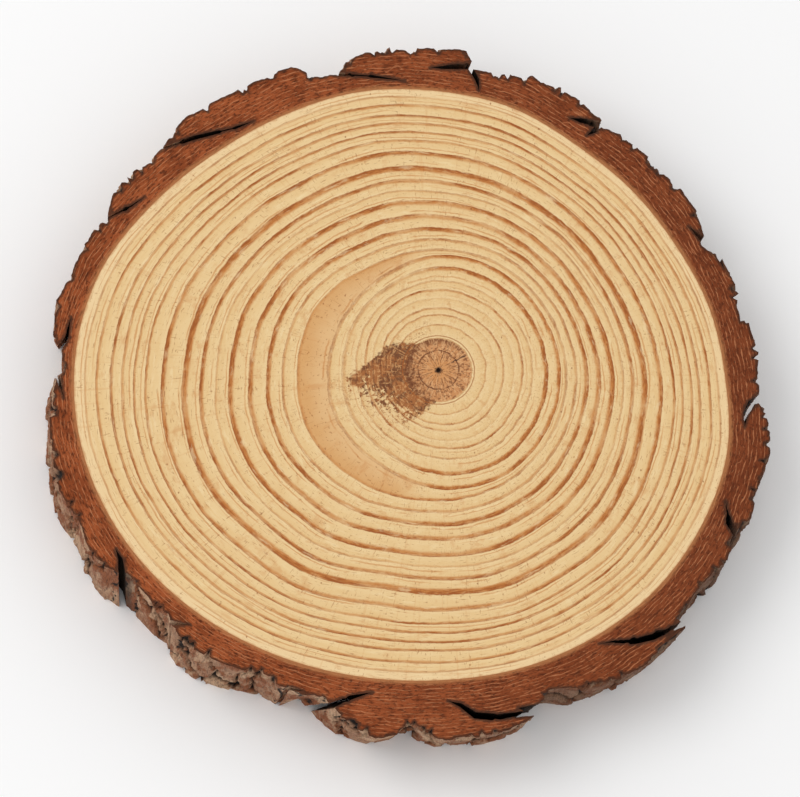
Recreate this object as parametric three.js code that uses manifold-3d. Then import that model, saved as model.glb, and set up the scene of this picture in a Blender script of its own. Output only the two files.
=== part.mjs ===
// A slice sawn from the trunk of a pine, with its bark still on, lying flat.
//
// Units are millimetres, +Z is up, and the origin is the middle of the underside.
// The slice grew as one piece, so it is one solid: two flat sawn faces, and between
// them the rough outside of the bark, which is split by drying cracks.

import * as THREE from "three";
import { mergeVertices } from "three/addons/utils/BufferGeometryUtils.js";
import Module from "manifold-3d";

// Driving dimensions.
const THICKNESS = 32;           // between the two sawn faces
const SIDE_LEVELS = 7;          // rows of points up the outside of the bark
const CRACK_OVERRUN = 2;        // how far a crack's cutter passes both sawn faces

// Slow waves in the bark between the faces: how many go around the trunk, how far each
// turns with height in radians, how many times it rises between the faces, and its depth.
const BARK_WAVES = [
  { around: 5, turn: 2.2, rises: 1, depth: 0.5 },
  { around: 23, turn: -3.1, rises: 2, depth: 0.35 },
];

// The bark grows in plates. Each has a rim, which is its outer edge on the upper sawn
// face, as [x, y] points in clockwise order.
const BARK_PLATES = [
  {
    name: "top flake",
    rim: [
      [-24, 114], [-21.5, 118.5], [-17, 120.5], [-11.5, 123], [-6.5, 125], [-3, 124],
      [1.5, 124.5], [6.5, 125], [12.5, 124.5], [18, 124.5], [20.5, 124], [22.5, 120],
      [21, 117.5],
    ],
  },
  {
    name: "right of the top",
    rim: [
      [24.5, 117], [32.5, 116], [35.5, 116.5], [40.5, 115.5], [43.5, 116], [46.5, 113.5],
      [54, 111], [59.5, 108], [63.5, 104], [66, 101.5], [67.5, 99],
    ],
  },
  {
    name: "upper right",
    rim: [
      [66.5, 97.5], [70.5, 95.5], [73.5, 94.5], [79, 91], [82.5, 87.5], [87, 84],
      [90, 80.5], [95, 75], [97, 72], [100, 67.5], [101.5, 62], [103, 57],
    ],
  },
  {
    name: "right shoulder",
    rim: [
      [102, 56], [104.5, 54], [107, 53], [109, 50.5], [111.5, 45.5], [113.5, 41.5],
      [114.5, 38], [114.5, 35.5], [114, 33.5], [115, 30.5],
    ],
  },
  {
    name: "right",
    rim: [
      [115.5, 28.5], [116.5, 28.5], [118, 27.5], [119, 23.5], [121, 18], [121.5, 14],
      [121, 8.5], [121.5, 3], [121, 0.5],
    ],
  },
  {
    name: "right of the foot",
    rim: [
      [119, 0], [121, -1], [123.5, -2.5], [124.5, -7], [125.5, -12], [125.5, -16],
      [124, -24.5], [122.5, -29.5], [120.5, -34.5],
    ],
  },
  {
    name: "small one at the lower right",
    rim: [[119, -37.5], [118, -43], [115.5, -46], [113.5, -48]],
  },
  {
    name: "lower right",
    rim: [
      [112, -50], [111, -54], [109.5, -58.5], [107.5, -62], [103.5, -66], [100, -70],
      [97, -75], [94.5, -77], [92.5, -80],
    ],
  },
  {
    name: "long flake at the lower right",
    rim: [
      [95.5, -82], [95.5, -83.5], [91.5, -87.5], [87, -92.5], [80.5, -97.5], [76, -100],
      [71.5, -102.5], [67.5, -104.5], [60.5, -106.5],
    ],
  },
  {
    name: "right of the bottom",
    rim: [[56.5, -106.5], [52, -106.5], [48.5, -107.5], [46.5, -110.5], [42.5, -112.5], [38, -113.5]],
  },
  {
    name: "bottom flake",
    rim: [
      [43.5, -116], [42.5, -117.5], [41, -119], [36, -121.5], [30.5, -123.5], [24.5, -124.5],
      [18.5, -125], [12.5, -125.5], [6.5, -123.5], [3, -121], [-1, -121], [-4, -123.5],
      [-11, -125.5], [-14, -124.5], [-18.5, -122.5], [-20.5, -120.5], [-23.5, -118], [-25, -115.5],
    ],
  },
  {
    name: "left of the bottom",
    rim: [
      [-29.5, -112], [-34, -111], [-38.5, -110], [-43.5, -108], [-49, -105], [-55, -103],
      [-62, -101], [-69, -98], [-73, -95.5], [-78.5, -91],
    ],
  },
  {
    name: "lower left",
    rim: [[-81.5, -86.5], [-82.5, -83.5], [-86.5, -81], [-90, -77], [-94.5, -72], [-96.5, -69.5]],
  },
  {
    name: "left of the foot",
    rim: [
      [-99, -69.5], [-104.5, -67.5], [-108, -63.5], [-110.5, -58], [-112.5, -51], [-115.5, -47.5],
      [-118, -43.5], [-120, -40], [-121, -35.5], [-122, -30], [-122.5, -24], [-122.5, -16.5],
      [-123, -9.5], [-122.5, -4.5], [-121, 0.5], [-118.5, 2.5],
    ],
  },
  {
    name: "left",
    rim: [
      [-119, 6.5], [-119, 10], [-121, 12.5], [-122.5, 16], [-122, 23], [-121, 28.5],
      [-118, 34.5], [-115.5, 41], [-113.5, 46], [-110, 50], [-108, 54.5], [-105, 57.5],
    ],
  },
  {
    name: "small one at the upper left",
    rim: [[-103.5, 59], [-103, 62.5], [-102, 67], [-99, 72], [-94.5, 76.5], [-92, 78], [-89.5, 79.5]],
  },
  {
    name: "upper left",
    rim: [
      [-87, 82.5], [-84.5, 85.5], [-82.5, 88.5], [-79, 93.5], [-76, 97], [-69.5, 101],
      [-64.5, 104], [-58, 107.5], [-53.5, 110], [-49, 112], [-45, 114.5], [-40.5, 116],
      [-38, 115.5], [-35, 114], [-30.5, 112],
    ],
  },
];

// How the bark's foot, on the underside, differs from its rim, by direction from the
// middle. The foot stands nearer the middle by the undercut, and it is turned about the
// middle by the lean, because the furrows of bark slant a little.
const FOOT = [
  { degrees: -180, undercut: 1, lean: -5 },
  { degrees: -165, undercut: 1.5, lean: -1 },
  { degrees: -143, undercut: 1, lean: 1.5 },
  { degrees: -125, undercut: 1, lean: 0 },
  { degrees: -112, undercut: 3, lean: -1 },
  { degrees: -104, undercut: 7, lean: -4 },
  { degrees: -92, undercut: 7.5, lean: 0 },
  { degrees: -75, undercut: 7, lean: 0 },
  { degrees: -60, undercut: 5, lean: 0 },
  { degrees: -45, undercut: 4.5, lean: 0 },
  { degrees: -33, undercut: 1.5, lean: 0 },
  { degrees: 30, undercut: 1, lean: 1 },
  { degrees: 60, undercut: -1, lean: 0 },
  { degrees: 90, undercut: 1, lean: 1 },
  { degrees: 125, undercut: -1, lean: 0 },
  { degrees: 150, undercut: 1, lean: -1 },
  { degrees: 180, undercut: 1, lean: -5 },
];

// The cracks run the whole way through, as bark splits along the trunk. Each is a path
// of [x, y, width] points from its mouth, which lies outside the bark, to its tip.
const CRACKS = [
  {
    name: "under the top flake, right",
    path: [[24, 118.5, 1.6], [17, 118, 1.4], [12.5, 117.5, 0.9], [8, 117.5, 0.4]],
  },
  { name: "spur below it", path: [[21.5, 118, 1.2], [24, 113.5, 1], [24.5, 109.5, 0.4]] },
  {
    name: "under the top flake, left",
    path: [[-30, 114, 2], [-22, 113.8, 1.1], [-13, 113.5, 0.8], [-1.5, 112, 0.4]],
  },
  {
    name: "long one at the upper left",
    path: [[-93, 81, 1.6], [-86, 84.5, 1.1], [-74, 89, 1.1], [-60, 93, 0.7], [-53.5, 95.5, 0.4]],
  },
  {
    name: "upper left",
    path: [[-107, 56.5, 1.6], [-103.5, 59, 1.2], [-95.5, 63.5, 0.8], [-90.5, 67, 0.4]],
  },
  {
    name: "inside the left plate",
    path: [[-126, 9, 3], [-120, 11, 2], [-117.5, 15, 1], [-116, 22, 0.4]],
  },
  { name: "left", path: [[-124, 4, 2], [-120.5, 1.5, 1.2], [-118.5, -6.5, 0.4]] },
  {
    name: "lower left",
    path: [[-99, -76, 2.2], [-98, -69, 1.8], [-98.5, -64, 1.1], [-100, -60.5, 0.4]],
  },
  {
    name: "foot of the lower left plate",
    path: [[-87, -89.5, 2], [-82.5, -86.3, 1.4], [-75, -87, 0.4]],
  },
  { name: "bottom, far left", path: [[-47, -113, 1.5], [-41, -108.5, 1], [-36, -109.5, 0.4]] },
  {
    name: "bottom left",
    path: [[-33, -120, 2.8], [-27, -115, 2.2], [-19.5, -111.3, 1.1], [-12.5, -109.5, 0.4]],
  },
  {
    name: "bottom right",
    path: [
      [48, -114.5, 1.6], [40, -115.3, 1.4], [30.5, -117, 1.8], [23, -116.5, 1.7], [18, -113, 1],
      [14, -111.5, 0.4],
    ],
  },
  {
    name: "long one at the lower right",
    path: [
      [99, -79, 1.6], [92, -83, 1.2], [84, -86.5, 2], [77, -88.5, 1.8], [72, -88.7, 0.9],
      [66, -89.5, 0.4],
    ],
  },
  {
    name: "right of the lower right plate",
    path: [[115.5, -52.5, 2.4], [110.5, -45, 1.6], [109.5, -37.5, 0.4]],
  },
  {
    name: "right",
    path: [[122.5, 1.5, 2.4], [119, -1, 2], [116.5, -5.5, 1.2], [116, -10, 0.4]],
  },
  { name: "right shoulder", path: [[107.5, 56, 1.6], [108, 51, 1.2], [109, 47.5, 0.4]] },
  {
    name: "cavity at the upper right",
    path: [[106, 55, 3], [102, 57.5, 2.4], [97.5, 62, 0.4]],
  },
  {
    name: "notch at the upper right",
    path: [[70, 99, 2.6], [64, 98.5, 2], [60, 99.5, 1.2], [56.5, 100.5, 0.4]],
  },
  { name: "spur inside the notch", path: [[66.5, 98, 2], [64.5, 95.8, 1.2], [62, 94.3, 0.4]] },
];

// The sawn wood's colour stands for the whole slice.
const SAWN_WOOD = new THREE.MeshStandardMaterial({ color: 0xe2c48c, roughness: 0.75, metalness: 0 });

// The slice before it cracked or took its shape: upright walls over the rims of all the
// plates, in rows of points, closed with the two flat sawn faces.
function uprightSlice() {
  const rim = BARK_PLATES.flatMap((plate) => plate.rim).reverse();
  const count = rim.length;
  const positions = [];
  for (let level = 0; level < SIDE_LEVELS; level++) {
    const z = (THICKNESS * level) / (SIDE_LEVELS - 1);
    rim.forEach(([x, y]) => positions.push(x, y, z));
  }

  const faces = [];
  for (let level = 0; level < SIDE_LEVELS - 1; level++) {
    for (let i = 0; i < count; i++) {
      const here = level * count + i;
      const next = level * count + ((i + 1) % count);
      faces.push(here, next, next + count, here, next + count, here + count);
    }
  }
  const outline = rim.map(([x, y]) => new THREE.Vector2(x, y));
  const sawnFace = THREE.ShapeUtils.triangulateShape(outline, []);
  const top = (SIDE_LEVELS - 1) * count;
  sawnFace.forEach(([a, b, c]) => faces.push(c, b, a, a + top, b + top, c + top));

  const geometry = new THREE.BufferGeometry();
  geometry.setAttribute("position", new THREE.Float32BufferAttribute(positions, 3));
  geometry.setIndex(faces);
  return geometry;
}

// The empty space of one crack: its path, given its width, standing upright.
function crackCutter({ path }) {
  const left = [];
  const right = [];
  path.forEach(([x, y, width], i) => {
    const before = path[Math.max(i - 1, 0)];
    const after = path[Math.min(i + 1, path.length - 1)];
    const across = new THREE.Vector2(before[1] - after[1], after[0] - before[0]).setLength(width / 2);
    left.push(new THREE.Vector2(x, y).add(across));
    right.unshift(new THREE.Vector2(x, y).sub(across));
  });
  const outline = new THREE.Shape([...left, ...right]);
  const depth = THICKNESS + 2 * CRACK_OVERRUN;
  const cutter = new THREE.ExtrudeGeometry(outline, { depth, bevelEnabled: false });
  return cutter.translate(0, 0, -CRACK_OVERRUN);
}

// three.js geometry to a manifold-3d solid, and back.
const wasm = await Module();
wasm.setup();

function toSolid(geometry) {
  const bare = geometry.clone();
  bare.deleteAttribute("normal");
  bare.deleteAttribute("uv");
  const merged = mergeVertices(bare);
  const vertProperties = new Float32Array(merged.attributes.position.array);
  const triVerts = new Uint32Array(merged.index.array);
  return new wasm.Manifold(new wasm.Mesh({ numProp: 3, vertProperties, triVerts }));
}

function toGeometry(solid) {
  const mesh = solid.getMesh();
  const geometry = new THREE.BufferGeometry();
  geometry.setAttribute("position", new THREE.BufferAttribute(new Float32Array(mesh.vertProperties), 3));
  geometry.setIndex(new THREE.BufferAttribute(new Uint32Array(mesh.triVerts), 1));
  return geometry;
}

// The undercut and lean of the bark's foot in one direction, eased between its entries.
function footAt(degrees) {
  const after = Math.max(FOOT.findIndex((entry) => entry.degrees >= degrees), 1);
  const [low, high] = [FOOT[after - 1], FOOT[after]];
  const part = THREE.MathUtils.smoothstep(degrees, low.degrees, high.degrees);
  return {
    undercut: THREE.MathUtils.lerp(low.undercut, high.undercut, part),
    lean: THREE.MathUtils.lerp(low.lean, high.lean, part),
  };
}

// The bark's swell at one place, which is nothing at both sawn faces.
function relief(angle, height) {
  const swells = BARK_WAVES.map(({ around, turn, rises, depth }) => {
    return depth * Math.sin(around * angle + turn * height) * Math.sin(rises * Math.PI * height);
  });
  return swells.reduce((sum, swell) => sum + swell, 0);
}

// Moves every point of the bark from its upright place to where it grew.
function shapeBark(geometry) {
  const position = geometry.attributes.position;
  for (let i = 0; i < position.count; i++) {
    const [x, y, z] = [position.getX(i), position.getY(i), position.getZ(i)];
    const angle = Math.atan2(y, x);
    const radius = Math.hypot(x, y);
    const height = z / THICKNESS;
    const foot = footAt(THREE.MathUtils.radToDeg(angle));
    const turned = angle + THREE.MathUtils.degToRad(foot.lean) * (1 - height);
    const moved = radius - foot.undercut * (1 - height) + relief(angle, height);
    position.setXY(i, moved * Math.cos(turned), moved * Math.sin(turned));
  }
}

// The slice with its cracks, moved so that the origin is the middle of its underside.
function woodSlice() {
  let solid = toSolid(uprightSlice());
  for (const crack of CRACKS) {
    solid = solid.subtract(toSolid(crackCutter(crack)));
  }
  const geometry = toGeometry(solid);
  shapeBark(geometry);
  geometry.computeBoundingBox();
  const middle = geometry.boundingBox.getCenter(new THREE.Vector3());
  geometry.translate(-middle.x, -middle.y, 0);
  geometry.computeVertexNormals();

  const mesh = new THREE.Mesh(geometry, SAWN_WOOD);
  mesh.name = "wood_slice";
  return mesh;
}

const group = new THREE.Group();
group.add(woodSlice());

export default group;
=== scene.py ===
# %% [markdown]
# # A slice of pine with its bark on
# This lesson builds a round sawn from a pine trunk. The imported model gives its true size
# and outline, and this script gives it its looks: growth rings, a stained heart, and bark
# that is red-brown where the saw cut it and grey, flaky and furrowed outside.
# The tree grew the slice as one piece. It is shown here as two closed meshes that meet at
# the cambium, the line where wood ends and bark begins, so that each gets its own finish.

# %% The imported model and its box
import math

import bpy
import numpy as np
from mathutils import Matrix, Vector
from mathutils.geometry import delaunay_2d_cdt
from mathutils.kdtree import KDTree


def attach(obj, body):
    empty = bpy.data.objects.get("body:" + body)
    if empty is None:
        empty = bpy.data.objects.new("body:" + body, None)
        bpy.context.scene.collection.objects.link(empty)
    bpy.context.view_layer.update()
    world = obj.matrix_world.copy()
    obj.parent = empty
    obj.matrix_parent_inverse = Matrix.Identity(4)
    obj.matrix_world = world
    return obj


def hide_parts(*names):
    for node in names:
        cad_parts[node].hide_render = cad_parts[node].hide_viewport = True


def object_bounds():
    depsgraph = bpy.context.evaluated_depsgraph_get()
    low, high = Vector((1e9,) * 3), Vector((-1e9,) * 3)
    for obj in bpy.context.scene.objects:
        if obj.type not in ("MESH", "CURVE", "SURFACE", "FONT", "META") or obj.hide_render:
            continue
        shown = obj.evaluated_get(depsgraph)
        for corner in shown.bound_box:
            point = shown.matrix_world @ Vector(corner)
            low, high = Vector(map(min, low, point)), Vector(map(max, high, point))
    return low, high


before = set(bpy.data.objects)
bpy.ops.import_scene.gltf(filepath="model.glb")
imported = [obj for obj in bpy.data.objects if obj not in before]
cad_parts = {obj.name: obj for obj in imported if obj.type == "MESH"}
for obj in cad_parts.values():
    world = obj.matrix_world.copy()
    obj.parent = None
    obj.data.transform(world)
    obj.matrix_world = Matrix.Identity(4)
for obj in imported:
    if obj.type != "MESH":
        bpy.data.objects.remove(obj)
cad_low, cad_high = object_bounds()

MM = 0.001
THICKNESS = (cad_high.z - cad_low.z) / MM
WIDTH = (cad_high.x - cad_low.x) / MM
print("slice", round(WIDTH, 1), "mm across and", round(THICKNESS, 1), "mm thick")

# %% [markdown]
# ## Camera
# The camera looks down at the sawn face from a little to the left and in front, from far
# away, so that the slice hardly tapers. Its place comes from a direction, a distance and
# the width that the picture takes in, and the lens is worked out from those.

# %% Camera
LOOK_BACK = Vector((-0.0843, -0.3145, 0.9455)).normalized()
PICTURE_UP = Vector((-0.0279, 0.9492, 0.3133))
LOOK_AT = Vector((-4.0, -3.3, THICKNESS)) * MM
CAMERA_DISTANCE = 5.0
CLIP_DISTANCE = 20.0
PICTURE_WIDTH = 274.4 * MM

camera_data = bpy.data.cameras.new("camera")
camera_data.lens = camera_data.sensor_width * CAMERA_DISTANCE / PICTURE_WIDTH
camera_data.clip_end = CLIP_DISTANCE
camera = bpy.data.objects.new("camera", camera_data)
camera_right = PICTURE_UP.cross(LOOK_BACK).normalized()
camera_up = LOOK_BACK.cross(camera_right)
camera.matrix_world = Matrix.Translation(LOOK_AT + LOOK_BACK * CAMERA_DISTANCE) @ Matrix(
    (camera_right, camera_up, LOOK_BACK)
).transposed().to_4x4()
bpy.context.scene.collection.objects.link(camera)
bpy.context.scene.camera = camera
print("camera", round(CAMERA_DISTANCE, 1), "m away, lens", round(camera_data.lens), "mm")

# %% [markdown]
# ## A shorthand for node trees
# Shaders and Geometry Nodes are both made of nodes. Drawing each one by hand hides the
# sums that they do, so a `Wire` stands for one output and takes Python's own operators,
# and a `Tree` has one method that makes any other node.

# %% Wire and Tree
MIDDLE = 0.5


class Wire:
    """One output of a node, which takes part in sums."""

    def __init__(self, tree, socket):
        self.tree = tree
        self.socket = socket

    def __add__(self, other):
        return self.tree.maths("ADD", self, other)

    def __sub__(self, other):
        return self.tree.maths("SUBTRACT", self, other)

    def __rsub__(self, other):
        return self.tree.maths("SUBTRACT", other, self)

    def __mul__(self, other):
        return self.tree.maths("MULTIPLY", self, other)

    def __truediv__(self, other):
        return self.tree.maths("DIVIDE", self, other)

    __radd__ = __add__
    __rmul__ = __mul__


class Tree:
    """Makes nodes in a shader tree or a geometry tree."""

    def __init__(self, node_tree):
        self.node_tree = node_tree

    def node(self, kind, settings=None, sockets=None):
        """Makes a node. Settings come first, then values or wires, by identifier, name or place."""
        made = self.node_tree.nodes.new(kind)
        for name, value in (settings or {}).items():
            setattr(made, name, value)
        for key, value in (sockets or {}).items():
            socket = self.find(made.inputs, key)
            if isinstance(value, Wire):
                self.node_tree.links.new(value.socket, socket)
            else:
                socket.default_value = value
        return made

    def find(self, sockets, key):
        if isinstance(key, int):
            return sockets[key]
        by_identifier = [socket for socket in sockets if socket.identifier == key]
        return by_identifier[0] if by_identifier else sockets[key]

    def wire(self, made, key=0):
        return Wire(self, self.find(made.outputs, key))

    def maths(self, operation, *values):
        made = self.node("ShaderNodeMath", {"operation": operation}, dict(enumerate(values)))
        return self.wire(made)

    def vector(self, operation, *values, result="Vector", **named):
        sockets = {**dict(enumerate(values)), **named}
        made = self.node("ShaderNodeVectorMath", {"operation": operation}, sockets)
        return self.wire(made, result)

    def fade(self, value, low, high):
        """Eases from 0 at low to 1 at high, and works downwards where low is above high."""
        sockets = {"Value": value, "From Min": low, "From Max": high}
        made = self.node("ShaderNodeMapRange", {"interpolation_type": "SMOOTHSTEP"}, sockets)
        return self.wire(made)

    def mark(self, levels, value):
        """How strongly a mark shows: it eases in from low to high, up to its share."""
        low, high, share = levels
        return self.fade(value, low, high) * share

    def noise(self, place, scale, detail=2.0, roughness=0.5):
        """Noise from 0 to 1 that is about 0.5 on average."""
        sockets = {"Vector": place, "Scale": scale, "Detail": detail, "Roughness": roughness}
        return self.wire(self.node("ShaderNodeTexNoise", {"noise_dimensions": "3D"}, sockets))

    def swing(self, noise, width):
        """Noise as a number that swings to both sides of 0."""
        return (noise - MIDDLE) * width

    def off_middle(self, value):
        """How far a value is from the middle between the whole numbers on either side."""
        return self.maths("FRACT", value) - MIDDLE

    def cells(self, place, feature, result="Distance", **sockets):
        made = self.node("ShaderNodeTexVoronoi", {"feature": feature}, {"Vector": place, **sockets})
        return self.wire(made, result)

    def stretch(self, place, x, y, z):
        return self.vector("MULTIPLY", place, (x, y, z))

    def parts(self, place):
        made = self.node("ShaderNodeSeparateXYZ", {}, {"Vector": place})
        return [self.wire(made, name) for name in "XYZ"]

    def joined(self, x, y, z):
        return self.wire(self.node("ShaderNodeCombineXYZ", {}, {"X": x, "Y": y, "Z": z}))

    def blend(self, share, first, second):
        """A colour part of the way from the first to the second."""
        sockets = {"Factor_Float": share, "A_Color": first, "B_Color": second}
        made = self.node("ShaderNodeMix", {"data_type": "RGBA"}, sockets)
        return self.wire(made, "Result_Color")

    def attribute(self, name):
        """A number stored on the mesh, for a shader."""
        return self.wire(self.node("ShaderNodeAttribute", {"attribute_name": name}), "Fac")

    def named(self, name, kind):
        """A number or a direction stored on the mesh, for Geometry Nodes."""
        made = self.node("GeometryNodeInputNamedAttribute", {"data_type": kind}, {"Name": name})
        return self.wire(made, "Attribute")

    def stored(self, geometry, name, value):
        """The geometry with a number stored at each point."""
        sockets = {"Geometry": geometry, "Name": name, "Value": value}
        settings = {"data_type": "FLOAT", "domain": "POINT"}
        return self.wire(self.node("GeometryNodeStoreNamedAttribute", settings, sockets))


# %% Colours and materials
SRGB_OFFSET = 0.055
SRGB_POWER = 2.4
FULL_TINT = 255


def tint(*parts):
    """A colour in shader values from the 0 to 255 values that a paint chart gives."""
    shares = [part / FULL_TINT for part in parts]
    return tuple(((share + SRGB_OFFSET) / (1 + SRGB_OFFSET)) ** SRGB_POWER for share in shares) + (1.0,)


def finish_material(name):
    """An empty material: its tree, its shader and the place on the object in millimetres."""
    material = bpy.data.materials.new(name)
    material.use_nodes = True
    tree = Tree(material.node_tree)
    shader = material.node_tree.nodes["Principled BSDF"]
    coordinates = tree.node("ShaderNodeTexCoord")
    place = tree.vector("SCALE", tree.wire(coordinates, "Object"), Scale=1 / MM)
    return material, tree, shader, place


def plug(tree, wire, shader, socket):
    tree.node_tree.links.new(wire.socket, shader.inputs[socket])


def add_bump(tree, shader, sizes, height):
    """Makes the surface look raised where the height is greater."""
    bump = tree.node("ShaderNodeBump", {}, {**sizes, "Height": height})
    plug(tree, tree.wire(bump, "Normal"), shader, "Normal")


print("shorthand ready")

# %% [markdown]
# ## The growth rings
# A pine adds one ring a year: pale wide-celled wood in spring, then a dark narrow line in
# late summer. The rings aren't circles. Five of them are given as guides, each by its
# distance from the pith in even steps round the tree, and the last of those is the cambium.
# The pith and the round core are guides too. The years between lie at a share of the way
# from one guide to the next.

# %% Guide rings
PITH = np.array([9.25, 7.42])
CORE_RADIUS = 11.5
GUIDES = {
    "pith": [0.0],
    "core": [CORE_RADIUS],
    "fifth": [29, 29.5, 29, 29, 28, 26.5, 25, 25.5, 26.5, 28, 29.5, 29],
    "hollow": [42, 41.5, 42, 41.5, 38, 37, 37.5, 39.5, 40, 42.5, 43.5, 42.5],
    "scar": [44, 43.5, 44, 43.5, 43.5, 47, 48.5, 50.5, 49, 47, 46, 44.5],
    "broad": [
        71, 69, 68, 68.5, 69.5, 71, 72.5, 74.5, 75, 77, 80, 84,
        86.5, 89.5, 90, 87.5, 86, 81, 80, 80, 78, 77, 74.5, 72,
    ],
    "cambium": [
        99, 97, 95, 95, 96, 99.5, 101.5, 104, 105.5, 108.5, 114, 121,
        125, 126.5, 125.5, 122.5, 118.5, 114.5, 111.5, 110, 108.5, 107, 105, 103,
    ],
}


def guide_radius(name, angles):
    """The guide's distance from the pith at some angles, on a smooth curve through its values."""
    values = np.array(GUIDES[name], float)
    place = (angles / (2 * np.pi)) % 1 * len(values)
    start = np.floor(place).astype(int)
    t = place - start
    before, here, after, beyond = (values[(start + step) % len(values)] for step in (-1, 0, 1, 2))
    slope_in = (after - before) / 2
    slope_out = (beyond - here) / 2
    rise = after - here
    square = 3 * rise - 2 * slope_in - slope_out
    cube = slope_in + slope_out - 2 * rise
    return here + t * (slope_in + t * (square + t * cube))


print(len(GUIDES), "guides, wood", round(2 * np.mean(GUIDES["cambium"])), "mm across on average")

# %% [markdown]
# Each year has a darkness and a width for its late line. Some lines are strong on one side
# of the tree only, so a year may have one arc, in degrees, where its darkness is different.

# %% The years
YEARS = [
    {"from": "pith", "to": "core", "share": 0.61, "dark": 0.0, "wide": 0.5},
    {"from": "pith", "to": "core", "share": 1.0, "dark": 0.5, "wide": 0.4},
    {"from": "core", "to": "fifth", "share": 0.28, "dark": 0.5, "wide": 0.5},
    {"from": "core", "to": "fifth", "share": 0.49, "dark": 0.6, "wide": 0.6, "arc": (0, 50, 0.1)},
    {"from": "core", "to": "fifth", "share": 0.62, "dark": 0.65, "wide": 0.7},
    {"from": "core", "to": "fifth", "share": 0.83, "dark": 0.18, "wide": 0.5},
    {"from": "core", "to": "fifth", "share": 1.0, "dark": 0.75, "wide": 0.8},
    {"from": "fifth", "to": "hollow", "share": 0.26, "dark": 0.45, "wide": 0.6},
    {"from": "fifth", "to": "hollow", "share": 0.63, "dark": 0.4, "wide": 1.4, "arc": (355, 100, 1.0)},
    {"from": "fifth", "to": "hollow", "share": 1.0, "dark": 0.55, "wide": 1.2, "arc": (0, 100, 0.95)},
    {"from": "hollow", "to": "scar", "share": 1.0, "dark": 0.5, "wide": 0.9, "arc": (277, 25, 0.9)},
    {"from": "scar", "to": "broad", "share": 0.13, "dark": 0.65, "wide": 0.9},
    {"from": "scar", "to": "broad", "share": 0.26, "dark": 0.9, "wide": 1.5},
    {"from": "scar", "to": "broad", "share": 0.42, "dark": 0.9, "wide": 1.5},
    {"from": "scar", "to": "broad", "share": 0.6, "dark": 0.95, "wide": 1.6},
    {"from": "scar", "to": "broad", "share": 0.73, "dark": 0.45, "wide": 0.6},
    {"from": "scar", "to": "broad", "share": 0.85, "dark": 0.85, "wide": 1.3},
    {"from": "scar", "to": "broad", "share": 1.0, "dark": 1.0, "wide": 2.0},
    {"from": "broad", "to": "cambium", "share": 0.205, "dark": 0.85, "wide": 1.2},
    {"from": "broad", "to": "cambium", "share": 0.36, "dark": 0.75, "wide": 0.8},
    {"from": "broad", "to": "cambium", "share": 0.46, "dark": 0.75, "wide": 0.8},
    {"from": "broad", "to": "cambium", "share": 0.57, "dark": 0.75, "wide": 0.9},
    {"from": "broad", "to": "cambium", "share": 0.665, "dark": 0.7, "wide": 0.9},
    {"from": "broad", "to": "cambium", "share": 0.80, "dark": 0.75, "wide": 0.9},
    {"from": "broad", "to": "cambium", "share": 0.905, "dark": 0.5, "wide": 0.6},
    {"from": "broad", "to": "cambium", "share": 1.0, "dark": 0.0, "wide": 0.6},
]
COLUMNS = 240
ARC_EASE = 14.0
PITH_LINE_WIDTH = 0.5
HALF_CIRCLE = 180
angles = np.linspace(0, 2 * np.pi, COLUMNS, endpoint=False)


def year_darkness(year):
    """The darkness of one year's line, all round."""
    darkness = np.full(COLUMNS, float(year["dark"]))
    if "arc" in year:
        middle, reach, other = year["arc"]
        turned = np.degrees(angles) - middle + HALF_CIRCLE
        away = np.abs(turned % (2 * HALF_CIRCLE) - HALF_CIRCLE)
        in_arc = np.clip((reach - away) / ARC_EASE + MIDDLE, 0, 1)
        darkness += (other - darkness) * in_arc
    return darkness


def year_radius(year):
    """The radius of one year's line, all round."""
    low = guide_radius(year["from"], angles)
    return low + year["share"] * (guide_radius(year["to"], angles) - low)


ring_radius = np.array([np.zeros(COLUMNS)] + [year_radius(year) for year in YEARS])
ring_dark = np.array([np.zeros(COLUMNS)] + [year_darkness(year) for year in YEARS])
ring_width = [PITH_LINE_WIDTH] + [year["wide"] for year in YEARS]
ring_wide = np.repeat(np.array(ring_width)[:, None], COLUMNS, axis=1)
LAST_YEAR = len(YEARS)
print(LAST_YEAR, "rings,", round(ring_radius[-1].mean() / LAST_YEAR, 1), "mm apart on average")

# %% [markdown]
# ## The outline of the bark
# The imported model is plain: flat sawn faces and an outside with few points. Its two
# outlines, where the saw cut through the bark, are read from it and matched point by
# point, so that everything made here follows its flakes and cracks. The foot of the bark
# is a little smaller than its rim, and the wood tapers with it.

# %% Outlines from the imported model
SLIVER = 0.5
LEVEL_TOLERANCE = 0.01
SAME_POINT_DIGITS = 3


def outline_at(places, faces, z):
    """The loop of points round the flat face at one height."""
    level = np.abs(places[:, 2] - z) < LEVEL_TOLERANCE
    flat_faces = [face for face in faces if all(level[face])]
    edges = {(a, b) for face in flat_faces for a, b in zip(face, face[1:] + face[:1])}
    after = {a: b for a, b in edges if (b, a) not in edges}
    start = min(after)
    loop = [start]
    while after[loop[-1]] != start:
        loop.append(after[loop[-1]])
    return places[loop, :2]


def sawn_outlines():
    """The outlines of the underside and the upper face, both anticlockwise from above."""
    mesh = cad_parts["wood_slice"].data
    every_place = np.array([vertex.co for vertex in mesh.vertices]) / MM
    rounded = every_place.round(SAME_POINT_DIGITS)
    places, same = np.unique(rounded, axis=0, return_inverse=True)
    same = same.ravel()
    faces = [[int(same[corner]) for corner in polygon.vertices] for polygon in mesh.polygons]
    under = outline_at(places, faces, 0.0)[::-1]
    upper = outline_at(places, faces, THICKNESS)
    assert len(under) == len(upper)
    costs = [np.abs(np.roll(under, shift, axis=0) - upper).sum() for shift in range(len(under))]
    return np.roll(under, int(np.argmin(costs)), axis=0), upper


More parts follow.
